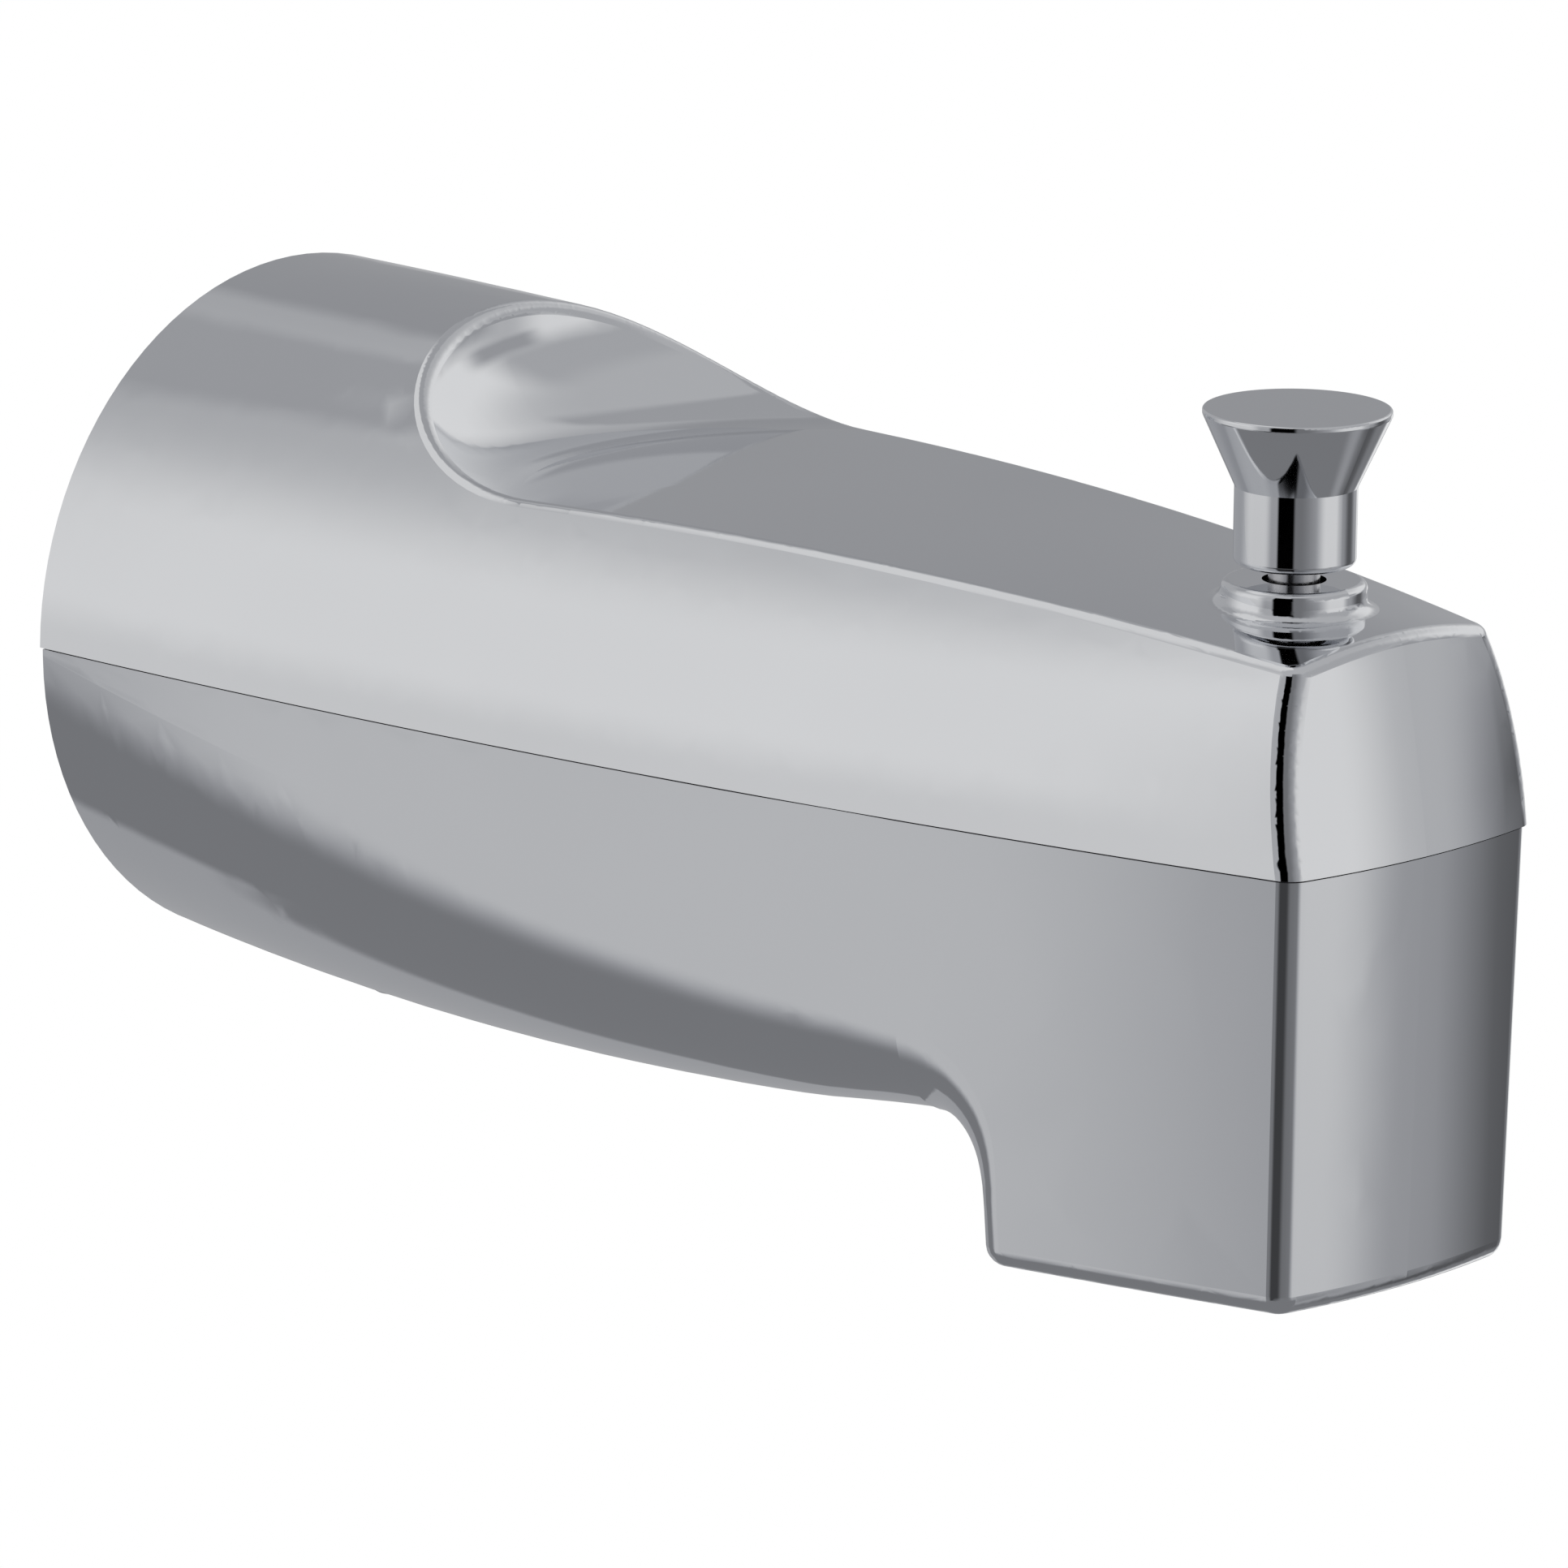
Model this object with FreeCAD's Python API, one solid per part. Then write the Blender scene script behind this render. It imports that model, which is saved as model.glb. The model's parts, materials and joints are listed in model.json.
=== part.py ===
import FreeCAD, Part
import math
import os
from FreeCAD import Vector

os.makedirs("parts", exist_ok=True)

# A wall mounted bath spout with a lift-up diverter, in millimetres.
# X runs out of the wall, Y is sideways, Z is up. The origin is the centre of the wall end,
# on the supply axis, and the two shells meet in the plane z = 0.

# Overall form
wall_end_diameter = 76.0
spout_length = 166.0
plan_radius = 721.4
plan_start = -1.8
front_radius = 92.6
front_tilt_angle = 7.9
front_lean_radius = 239.0
back_fall_radius = 2386.0
upper_wall = 2.6
upper_corner_radius = 2.9
top_edge_radius = 1.6

# Flat top and scoop
top_height = 24.9
top_crest_x = 87.0
top_arc_radius = 672.0
top_crown = 1.8
scoop_end_x = 68.0
scoop_centre_x = 79.9
scoop_floor_radius = 31.6
scoop_cove_radius = 13.5

# Lower shell
seam_step = 0.4
seam_reveal_height = 0.25
seam_reveal_depth = 0.9
lower_wall = 2.4
draft_angle = 1.2
belly_radius = 555.0
belly_low_x = 38.0
belly_drop = 1.18
belly_round_fall = 0.16
belly_round_bend = 0.0005
belly_flat = 0.3
join_tolerance = 0.005
nozzle_drop = 46.5
nozzle_length = 39.6
nozzle_back_angle = 3.5
nozzle_cove_radius = 8.0
nozzle_corner_radius = 2.8
nozzle_edge_radius = 2.3
lip_height = 3.0
lip_thickness = 1.2
lip_clearance = 0.35
lip_start_x = 2.0

# Supply hub for a plain copper tube
tube_diameter = 16.0
hub_start_x = 12.0
hub_end_x = 50.0
hub_radius = 13.0
hub_stop_bore = 6.4
spigot_radius = 10.5
spigot_length = 14.0
tube_ring_depth = 2.2
tube_ring_width = 3.0
rear_tube_ring_x = 30.5
front_tube_ring_x = 36.0
spigot_ring_x = 57.0
spigot_ring_depth = 1.8
spigot_ring_width = 2.6
hub_flange_radius = 15.0
hub_flange_width = 3.0
rib_thickness = 3.0
front_rib_x = 42.0
rear_rib_x = 21.5
clip_thickness = 1.2
clip_reach = 2.6
clip_groove_depth = 1.4

# Set screw and its boss under the belly
set_screw_x = 17.0
set_screw_radius = 2.5
set_screw_length = 9.0
set_screw_key = 2.5
key_hole_radius = 1.6
boss_radius = 2.6
boss_drop = 3.4
boss_edge_radius = 0.3
guide_wall = 1.6
guide_gap = 1.5

# Waterway and diverter chamber
socket_wall = 3.4
socket_depth = 15.5
socket_gap = 0.3
socket_clearance = 0.06
pipe_radius = 9.5
pipe_bore_radius = 6.8
chamber_setback = 6.4
chamber_length = 21.6
chamber_half_width = 11.0
chamber_wall = 2.4
chamber_top = 12.5
chamber_mouth_rise = 8.5
flange_half_width = 14.0
flange_thickness = 3.0
port_radius = 5.5
lug_x = 86.0
lug_y = 15.0
lug_radius = 5.0
lug_thickness = 3.0
shell_boss_radius = 4.5
waterway_screw_radius = 1.6
waterway_screw_grip = 9.0
screw_head_radius = 3.4
screw_head_height = 2.2
gasket_thickness = 0.8
cap_thickness = 2.7
cap_screw_radius = 1.1
cap_screw_grip = 5.0
cap_head_radius = 1.9
cap_head_height = 1.2
cap_screw_inset = 2.3
gland_depth = 2.0
gland_radius = 5.0

# Diverter gate, rod and knob
rod_setback = 18.9
rod_radius = 2.7
rod_end_radius = 2.0
lift_travel = 13.0
gate_height = 17.0
gate_thickness = 2.3
gate_seal_radius = 7.5
gate_seal_thickness = 2.2
seal_stud_radius = 2.0
seal_stud_length = 1.0
gate_hub_radius = 4.2
groove_depth = 0.9
gate_side_gap = 0.3
gate_clip_radius = 4.0
gate_clip_thickness = 0.8
bushing_radius = 5.0
bushing_flange_radius = 6.4
bushing_flange_thickness = 1.0
bushing_length = 7.0
collar_radius = 7.6
collar_rise = 2.45
collar_foot_radius = 1.4
collar_edge_radius = 0.8
collar_hole_radius = 3.35
knob_gap = 1.65
knob_neck_radius = 6.37
knob_neck_height = 8.2
knob_radius = 9.8
knob_cone_height = 7.5
knob_rim_height = 0.6
knob_foot_radius = 0.8
knob_bore_depth = 12.0

# Stream straightener in the chamber's mouth
straightener_height = 6.0
straightener_wall = 1.2
straightener_web = 0.8
straightener_cells = 4

# Fits
slide_gap = 0.05
seat_gap = 0.02
screw_gap = 0.05
body_gap = 0.3

hub_bore = tube_diameter / 2
draft = math.tan(math.radians(draft_angle))
back_slope = math.tan(math.radians(nozzle_back_angle))
front_slope = math.tan(math.radians(front_tilt_angle))
wall_radius = wall_end_diameter / 2
nozzle_back_x = spout_length - nozzle_length
chamber_front_x = spout_length - chamber_setback
chamber_back_x = chamber_front_x - chamber_length
chamber_bottom = -nozzle_drop + chamber_mouth_rise
rod_x = spout_length - rod_setback
collar_centre = Vector(rod_x, 0, 0)
chamber_inner_back = chamber_back_x + chamber_wall + 0.6
chamber_inner_half = chamber_half_width - chamber_wall
chamber_inner_front = chamber_front_x - chamber_wall
cap_base = chamber_top + gasket_thickness
cap_top = cap_base + cap_thickness
gate_rest_z = -lift_travel
gate_bottom = gate_rest_z - gate_height / 2
gate_top = gate_rest_z + gate_height / 2
seal_start_x = chamber_inner_back + body_gap
plate_start_x = seal_start_x + gate_seal_thickness


def box(x0, x1, y0, y1, z0, z1):
    return Part.makeBox(x1 - x0, y1 - y0, z1 - z0, Vector(x0, y0, z0))


def rod_along_x(radius, x0, x1, y=0.0, z=0.0):
    return Part.makeCylinder(radius, x1 - x0, Vector(x0, y, z), Vector(1, 0, 0))


def rod_along_z(radius, z0, z1, x, y=0.0):
    return Part.makeCylinder(radius, z1 - z0, Vector(x, y, z0), Vector(0, 0, 1))


def tube_along_x(outer, inner, x0, x1):
    return rod_along_x(outer, x0, x1).cut(rod_along_x(inner, x0 - 1, x1 + 1))


def tube_along_z(outer, inner, z0, z1, x, y=0.0):
    return rod_along_z(outer, z0, z1, x, y).cut(rod_along_z(inner, z0 - 1, z1 + 1, x, y))


def line(a, b):
    return Part.LineSegment(a, b).toShape()


def arc(a, middle, b):
    return Part.Arc(a, middle, b).toShape()


def find_edges(shape, test):
    return [edge for edge in shape.Edges if test(edge, edge.CenterOfMass, edge.BoundBox)]


def one_solid(shape):
    merged = shape.removeSplitter()
    return merged.Solids[0]


# Half width of the spout at the seam, one long arc from the wall to the front
def half_width(x, inset):
    swing = math.sqrt(plan_radius ** 2 - (x - plan_start) ** 2)
    return swing - plan_radius + wall_radius - inset


# Height of the round back above the seam
def back_height(x, inset):
    return wall_radius - x * x / (2 * back_fall_radius) - inset


# Height of the flat top along its edges
def top_edge_height(x):
    return top_height - (x - top_crest_x) ** 2 / (2 * top_arc_radius)


# Half an ellipse over the seam, with short legs down to the given foot
def upper_section(x, inset, foot):
    wide = half_width(x, inset)
    high = back_height(x, inset)
    if high < wide:
        high = wide
    ellipse = Part.Ellipse(Vector(x, 0, high), Vector(x, wide, 0), Vector(x, 0, 0))
    over = Part.ArcOfEllipse(ellipse, -math.pi / 2, math.pi / 2).toShape()
    left = Vector(x, -wide, 0)
    right = Vector(x, wide, 0)
    low_left = Vector(x, -wide, foot)
    low_right = Vector(x, wide, foot)
    if foot < 0:
        return Part.Wire([over, line(right, low_right), line(low_right, low_left),
                          line(low_left, left)])
    return Part.Wire([over, line(right, left)])


# The leaning front face, turned about a vertical axis behind it
def front_barrel(inset, foot):
    axis_x = spout_length - front_radius
    reach = front_radius - inset
    tall = wall_radius + 4
    lean = front_slope * tall + tall * tall / (2 * front_lean_radius)
    half_lean = front_slope * tall / 2 + (tall / 2) ** 2 / (2 * front_lean_radius)
    foot_point = Vector(axis_x + reach, 0, 0)
    edges = [
        line(Vector(axis_x, 0, foot - 1), Vector(axis_x + reach, 0, foot - 1)),
        line(Vector(axis_x + reach, 0, foot - 1), foot_point),
        arc(foot_point, Vector(axis_x + reach - half_lean, 0, tall / 2),
            Vector(axis_x + reach - lean, 0, tall)),
        line(Vector(axis_x + reach - lean, 0, tall), Vector(axis_x, 0, tall)),
        line(Vector(axis_x, 0, tall), Vector(axis_x, 0, foot - 1)),
    ]
    profile = Part.Face(Part.Wire(edges))
    return profile.revolve(Vector(axis_x, 0, 0), Vector(0, 0, 1), 360)


# The bowl of the scoop: a flat floor and a cove, on a slightly tilted axis
def scoop_bowl(sink):
    slope = (top_crest_x - scoop_end_x) / top_arc_radius
    floor_z = top_edge_height(scoop_end_x) + slope * (scoop_centre_x - scoop_end_x)
    floor = scoop_floor_radius
    cove = scoop_cove_radius + sink
    across = cove * math.sin(math.pi / 4)
    edges = [
        line(Vector(0, 0, -sink), Vector(floor, 0, -sink)),
        arc(Vector(floor, 0, -sink), Vector(floor + across, 0, -sink + cove - across),
            Vector(floor + cove, 0, -sink + cove)),
        line(Vector(floor + cove, 0, -sink + cove), Vector(floor + cove, 0, wall_radius)),
        line(Vector(floor + cove, 0, wall_radius), Vector(0, 0, wall_radius)),
        line(Vector(0, 0, wall_radius), Vector(0, 0, -sink)),
    ]
    bowl = Part.Face(Part.Wire(edges)).revolve(Vector(0, 0, 0), Vector(0, 0, 1), 360)
    bowl.rotate(Vector(0, 0, 0), Vector(0, 1, 0), -math.degrees(math.atan(slope)))
    bowl.translate(Vector(scoop_centre_x, 0, floor_z))
    return bowl


# How far the top's middle stands above its edges, more toward the front
def crown_height(x):
    return top_crown * ((x - scoop_end_x) / (spout_length - 6 - scoop_end_x)) ** 2


def collar_top():
    return top_edge_height(rod_x) + crown_height(rod_x) + collar_rise


def knob_base():
    return collar_top() + knob_gap


# One slice of what is cut off above the top, with a low crown across it
def top_slice(x, sink):
    reach = wall_radius + 8
    edge_half = half_width(x, 0) * math.sqrt(1 - (top_edge_height(x) / back_height(x, 0)) ** 2)
    crown = crown_height(x)
    drop = crown * (reach / edge_half) ** 2
    middle = top_edge_height(x) + crown - sink
    curve = Part.BezierCurve()
    curve.setPoles([Vector(x, -reach, middle - drop), Vector(x, 0, middle + drop),
                    Vector(x, reach, middle - drop)])
    high = 2 * wall_radius
    return Part.Wire([curve.toShape(), line(Vector(x, reach, middle - drop), Vector(x, reach, high)),
                      line(Vector(x, reach, high), Vector(x, -reach, high)),
                      line(Vector(x, -reach, high), Vector(x, -reach, middle - drop))])


def top_cutter(sink):
    ahead = spout_length + 8
    places = [scoop_end_x + (ahead - scoop_end_x) * step / 6 for step in range(7)]
    deck = Part.makeLoft([top_slice(x, sink) for x in places], True, False)
    return deck.fuse(scoop_bowl(sink))


# The upper form, used full size for the outside and inset for the inside
def upper_form(inset, start_x, foot):
    ahead = spout_length + 6
    places = [start_x + (ahead - start_x) * step / 8 for step in range(9)]
    hull = Part.makeLoft([upper_section(x, inset, foot) for x in places], True, False)
    hull = hull.common(front_barrel(inset, foot))
    corners = find_edges(hull, lambda e, c, b: c.x > spout_length / 2 and b.ZLength > wall_radius / 4
                         and abs(c.y) > half_width(spout_length, 0) / 3
                         and b.XLength < spout_length / 4)
    radius = max(upper_corner_radius - inset, 0.5)
    hull = hull.makeFillet(radius, corners)
    return hull.cut(top_cutter(inset))


def top_rim_edges(shape):
    def on_rim(edge, centre, bounds):
        if bounds.ZMin < wall_radius * 0.4 or bounds.XMin < 1.0:
            return False
        if abs(centre.y) > 1.0 or bounds.XMax > spout_length * 0.9:
            return True
        return bounds.ZMax > back_height(centre.x, 0) * 0.985 and bounds.ZLength > 0.2
    return find_edges(shape, on_rim)


def upper_shell():
    rim_z = collar_top()
    outside = one_solid(upper_form(0.0, 0.0, 0.0))
    outside = outside.makeFillet(top_edge_radius, top_rim_edges(outside))
    collar = rod_along_z(collar_radius, top_height - 8, rim_z, rod_x)
    outside = one_solid(outside.fuse(collar))
    foot = find_edges(outside, lambda e, c, b: abs(c.x - rod_x) < 2 and abs(c.y) < collar_radius
                      and b.ZMax < rim_z - 0.1 and e.Length > 2 * collar_radius
                      and b.XLength < 2.1 * collar_radius)
    outside = outside.makeFillet(collar_foot_radius, foot)
    crown = find_edges(outside, lambda e, c, b: abs(b.ZMin - rim_z) < 0.01 and b.XLength > collar_radius)
    outside = outside.makeFillet(collar_edge_radius, crown)
    shell = outside.cut(upper_form(upper_wall, -3.0, -1.0))
    bosses = [rod_along_z(collar_radius, cap_top + bushing_flange_thickness + 0.1, rim_z - 2, rod_x)]
    for side in (-1, 1):
        bosses.append(rod_along_z(shell_boss_radius, lug_top() + seat_gap, top_height - 1, lug_x, side * lug_y))
    shell = shell.fuse(bosses)
    cuts = [rod_along_z(collar_hole_radius, 0, rim_z + 1, rod_x)]
    cuts.append(rod_along_z(bushing_radius + screw_gap, 0, bushing_top() + screw_gap, rod_x))
    for side in (-1, 1):
        cuts.append(rod_along_z(waterway_screw_radius + screw_gap, 0, lug_top() + waterway_screw_grip + 1,
                                lug_x, side * lug_y))
    return one_solid(shell.cut(cuts))


def lug_top():
    return lug_thickness


def bushing_top():
    return cap_top + screw_gap + bushing_length


# Height of the centre of the belly's large circle
def belly_centre():
    return belly_radius - wall_radius + seam_step - belly_drop


# Bottom of the belly, lowest a little way out from the wall
def belly_height(x, inset):
    return belly_centre() - math.sqrt((belly_radius - inset) ** 2 - (x - belly_low_x) ** 2)


# Radius that rounds the belly into the sides, large at the wall and small at the nozzle
def belly_round(x, inset):
    start = wall_radius - seam_step - belly_flat
    return start - belly_round_fall * x - belly_round_bend * x * x - inset


def belly_section(x, inset):
    wide = half_width(x, seam_step + inset)
    low = belly_height(x, inset)
    radius = belly_round(x, inset)
    slant = math.sqrt(1 + draft * draft)
    centre_z = low + radius
    centre_y = wide + draft * centre_z - radius * slant
    side = Vector(x, centre_y + radius / slant, centre_z - radius * draft / slant)
    bisect = Vector(0, 1 / slant, -draft / slant - 1)
    bisect.normalize()
    middle = Vector(x, centre_y + radius * bisect.y, centre_z + radius * bisect.z)
    base = Vector(x, centre_y, low)
    rim = Vector(x, wide, 0)
    points = [side, middle, base, rim]
    others = [Vector(point.x, -point.y, point.z) for point in points]
    return Part.Wire([line(others[3], others[0]), arc(others[0], others[1], others[2]),
                      line(others[2], base), arc(base, middle, side), line(side, rim),
                      line(rim, others[3])])


# Plan outline with the curved sides and the curved front
def plan_outline(z, inset):
    x0 = -6.0
    front = spout_length - inset
    corner_y = wall_radius / 2
    for turn in range(30):
        corner_x = front - corner_y * corner_y / (2 * front_radius)
        corner_y = half_width(corner_x, inset)
    middle_x = corner_x / 2
    start = half_width(x0, inset)
    middle = half_width(middle_x, inset)
    return Part.Wire([
        arc(Vector(x0, -start, z), Vector(middle_x, -middle, z), Vector(corner_x, -corner_y, z)),
        arc(Vector(corner_x, -corner_y, z), Vector(front, 0, z), Vector(corner_x, corner_y, z)),
        arc(Vector(corner_x, corner_y, z), Vector(middle_x, middle, z), Vector(x0, start, z)),
        line(Vector(x0, start, z), Vector(x0, -start, z)),
    ])


def plan_block(inset, z0, z1):
    wires = [plan_outline(z, inset - z * draft) for z in (z0, z1)]
    return Part.makeLoft(wires, True, True)


# The cove's radius, held back where the nozzle is short
def cove_radius():
    room = nozzle_drop + belly_height(nozzle_back_x, 0)
    return min(nozzle_cove_radius, 0.6 * room)


# Centre of the cove between the belly and the nozzle's back, tangent to both
def nozzle_cove(inset):
    belly = belly_radius - inset
    cove = cove_radius() + inset
    slant = math.sqrt(1 + back_slope ** 2)
    cove_z = -nozzle_drop + cove_radius() / 2
    for turn in range(60):
        cove_x = nozzle_back_x + back_slope * (-nozzle_drop + 6 - cove_z) + (inset - cove) * slant
        cove_z = belly_centre() - math.sqrt((belly + cove) ** 2 - (cove_x - belly_low_x) ** 2)
    outward = Vector(cove_x - belly_low_x, 0, cove_z - belly_centre())
    outward.normalize()
    return cove_x, cove_z, outward


# Just past the place where the belly ends and the cove begins
def belly_join_x():
    outward = nozzle_cove(0.0)[2]
    return belly_low_x + outward.x * belly_radius + 0.1


# Side view of the belly's end, the cove and the nozzle's back, tangent throughout
def nozzle_profile(start_x, inset, bottom):
    belly = belly_radius - inset
    cove = cove_radius() + inset
    cove_x, cove_z, outward = nozzle_cove(inset)
    across = Vector(1, 0, back_slope)
    across.normalize()
    between = across - outward
    between.normalize()
    side = wall_radius + 10
    belly_end = Vector(belly_low_x + outward.x * belly, -side, belly_centre() + outward.z * belly)
    cove_middle = Vector(cove_x + cove * between.x, -side, cove_z + cove * between.z)
    back_top = Vector(cove_x + cove * across.x, -side, cove_z + cove * across.z)
    back_foot = Vector(back_top.x + back_slope * (back_top.z - bottom), -side, bottom)
    far = spout_length + 20
    middle_x = (start_x + belly_end.x) / 2
    belly_start = Vector(start_x, -side, belly_height(start_x, inset))
    belly_middle = Vector(middle_x, -side, belly_height(middle_x, inset))
    edges = [
        line(Vector(start_x, -side, 6), belly_start),
        arc(belly_start, belly_middle, belly_end),
        arc(belly_end, cove_middle, back_top),
        line(back_top, back_foot),
        line(back_foot, Vector(far, -side, bottom)),
        line(Vector(far, -side, bottom), Vector(far, -side, 6)),
        line(Vector(far, -side, 6), Vector(start_x, -side, 6)),
    ]
    return Part.Face(Part.Wire(edges)).extrude(Vector(0, 2 * side, 0))


# The nozzle end of the lower form, with the blend that shrinks as it turns down the back.
# One half is shaped and then mirrored.
def nozzle_block(inset, bottom):
    start_x = belly_join_x()
    block = plan_block(seam_step + inset, 4, bottom - 6)
    block = block.common(nozzle_profile(start_x - 10, inset, bottom))
    far = spout_length + 30
    half = block.common(box(start_x, far, 0, 2 * wall_radius, bottom - 10, 10))
    corner = max(nozzle_corner_radius - inset, 0.5)
    side_y = half_width(spout_length, 0) / 3
    fronts = find_edges(half, lambda e, c, b: c.x > nozzle_back_x + corner and c.y > side_y
                        and b.ZLength > nozzle_drop / 2)
    half = half.makeFillet(corner, fronts)
    bend = cove_radius() / 4
    cove_edge = find_edges(half, lambda e, c, b: c.y > side_y and c.x < nozzle_back_x + inset
                           and b.XLength > bend and b.ZLength > bend)
    half = half.makeFillet(belly_round(start_x, inset), corner, cove_edge)
    other = half.mirror(Vector(0, 0, 0), Vector(0, 1, 0))
    return one_solid(half.fuse(other))


def lower_form(inset, bottom):
    nozzle = nozzle_block(inset, bottom)
    if inset == 0.0:
        mouth = find_edges(nozzle, lambda e, c, b: b.ZMax < bottom + 0.001)
        nozzle = nozzle.makeFillet(nozzle_edge_radius, mouth)
    shares = (0.0, 0.06, 0.12, 0.2, 0.3, 0.42, 0.56, 0.7, 0.85, 1.0)
    places = [belly_join_x() * share for share in shares]
    belly = Part.makeLoft([belly_section(x, inset) for x in places], True, False)
    nozzle = nozzle.common(box(0, spout_length + 30, -wall_radius * 2, wall_radius * 2, bottom - 10, 0))
    return belly.fuse([nozzle], join_tolerance)


def seam_lip():
    clear = upper_wall + lip_clearance
    ring = plan_block(clear, -lip_height, lip_height)
    ring = ring.cut(plan_block(clear + lip_thickness, -lip_height - 1, lip_height + 1))
    ring = ring.common(front_barrel(clear, -lip_height))
    foot = plan_block(seam_step + lower_wall / 2, -lip_height, 0)
    foot = foot.cut(plan_block(clear + lip_thickness, -lip_height - 1, 1))
    lip = ring.fuse(foot)
    reach = wall_radius + 5
    return lip.common(box(lip_start_x, spout_length, -reach, reach, -lip_height, lip_height))


# Two upright ribs carry the hub, notched to its radius
def hub_ribs():
    ribs = []
    for x in (rear_rib_x, front_rib_x):
        half = hub_radius + 6
        rib = box(x, x + rib_thickness, -half, half, -wall_radius, -3.0)
        rib = rib.cut(rod_along_x(hub_radius + slide_gap, x - 1, x + rib_thickness + 1))
        ribs.append(rib.common(lower_form(lower_wall / 2, -nozzle_drop - 6)))
    return ribs


# What is cut off the lower wall's outer edge to leave a fine groove under the upper shell
def seam_reveal():
    ring = plan_block(-1.0, -seam_reveal_height, 1)
    return ring.cut(plan_block(seam_step + seam_reveal_depth, -seam_reveal_height - 1, 2))


def set_screw_boss():
    base = belly_height(set_screw_x, 0) - boss_drop
    boss = rod_along_z(boss_radius, base, belly_height(set_screw_x, 0) + 4, set_screw_x)
    rim = find_edges(boss, lambda e, c, b: b.ZMax < base + 0.001)
    return boss.makeFillet(boss_edge_radius, rim)


def lower_shell():
    shoulder = set_screw_boss()
    outside = lower_form(0.0, -nozzle_drop)
    shell = outside.cut(lower_form(lower_wall, -nozzle_drop - 6))
    screw_foot = -hub_bore - body_gap - set_screw_length
    inner_floor = belly_height(set_screw_x, lower_wall)
    shoulder = shoulder.common(box(0, 2 * set_screw_x, -wall_radius, wall_radius,
                                   -wall_radius - boss_drop - 2, inner_floor - 1))
    guide = rod_along_z(key_hole_radius + guide_wall, inner_floor - 1, screw_foot - guide_gap, set_screw_x)
    shell = shell.fuse([seam_lip(), guide, shoulder] + hub_ribs())
    shell = shell.cut(rod_along_z(key_hole_radius, -nozzle_drop, screw_foot, set_screw_x))
    return one_solid(shell.cut(seam_reveal()))


def ring_with_round_edges(outer, inner, x0, x1):
    ring = tube_along_x(outer, inner, x0, x1)
    soft = min(outer - inner, x1 - x0) * 0.3
    return ring.makeFillet(soft, find_edges(ring, lambda e, c, b: b.XLength < 0.01))


def inlet_hub():
    spigot_end = hub_end_x + spigot_length
    body = rod_along_x(hub_radius, hub_start_x, hub_end_x)
    flange_end = front_rib_x - seat_gap
    body = body.fuse([rod_along_x(spigot_radius, hub_end_x, spigot_end),
                      rod_along_x(hub_flange_radius, flange_end - hub_flange_width, flange_end)])
    clip_x = front_rib_x + rib_thickness + seat_gap
    cuts = [
        rod_along_x(hub_bore, hub_start_x - 1, hub_end_x),
        rod_along_x(hub_stop_bore, hub_end_x - 1, spigot_end + 1),
        rod_along_x(hub_bore + tube_ring_depth, rear_tube_ring_x, rear_tube_ring_x + tube_ring_width),
        rod_along_x(hub_bore + tube_ring_depth, front_tube_ring_x, front_tube_ring_x + tube_ring_width),
        tube_along_x(spigot_radius + 1, spigot_radius - spigot_ring_depth, spigot_ring_x,
                     spigot_ring_x + spigot_ring_width),
        tube_along_x(hub_radius + 1, hub_radius - clip_groove_depth, clip_x,
                     clip_x + clip_thickness + 2 * seat_gap),
        rod_along_z(set_screw_radius + screw_gap, -hub_radius - 2, 0, set_screw_x),
    ]
    for cutter in cuts:
        body = body.cut(cutter)
    mouth = Part.makeCone(hub_bore + 1.2, hub_bore, 1.2, Vector(hub_start_x, 0, 0), Vector(1, 0, 0))
    return one_solid(body.cut(mouth))


def tube_o_ring(x):
    return ring_with_round_edges(hub_bore + tube_ring_depth - seat_gap, hub_bore + seat_gap,
                                 x + seat_gap, x + tube_ring_width - seat_gap)


def spigot_o_ring():
    return ring_with_round_edges(spigot_radius + socket_clearance - seat_gap,
                                 spigot_radius - spigot_ring_depth + seat_gap,
                                 spigot_ring_x + seat_gap, spigot_ring_x + spigot_ring_width - seat_gap)


def set_screw():
    top = -hub_bore - body_gap
    bottom = top - set_screw_length
    screw = rod_along_z(set_screw_radius, bottom, top, set_screw_x)
    ends = find_edges(screw, lambda e, c, b: b.ZLength < 0.01)
    screw = screw.makeChamfer(0.4, ends)
    corner = set_screw_key / 2 / math.cos(math.pi / 6)
    points = [Vector(set_screw_x + corner * math.cos(math.pi / 3 * k), corner * math.sin(math.pi / 3 * k),
                     bottom - 1) for k in range(7)]
    key = Part.Face(Part.makePolygon(points)).extrude(Vector(0, 0, 1 + set_screw_key))
    return screw.cut(key)


# A flat horseshoe pushed down over the hub, in front of the forward rib
def hub_retaining_clip():
    x0 = front_rib_x + rib_thickness + 2 * seat_gap
    outer = hub_radius + clip_reach
    inner = hub_radius - clip_groove_depth + seat_gap
    ring = tube_along_x(outer, inner, x0, x0 + clip_thickness)
    gap = inner * 0.92
    return ring.cut(box(x0 - 1, x0 + clip_thickness + 1, -gap, gap, -outer - 1, 0))


def chamber_screw_places():
    xs = (chamber_back_x + cap_screw_inset, chamber_front_x - cap_screw_inset)
    side = flange_half_width - cap_screw_inset
    return [(x, sign * side) for x in xs for sign in (-1, 1)]


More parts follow.
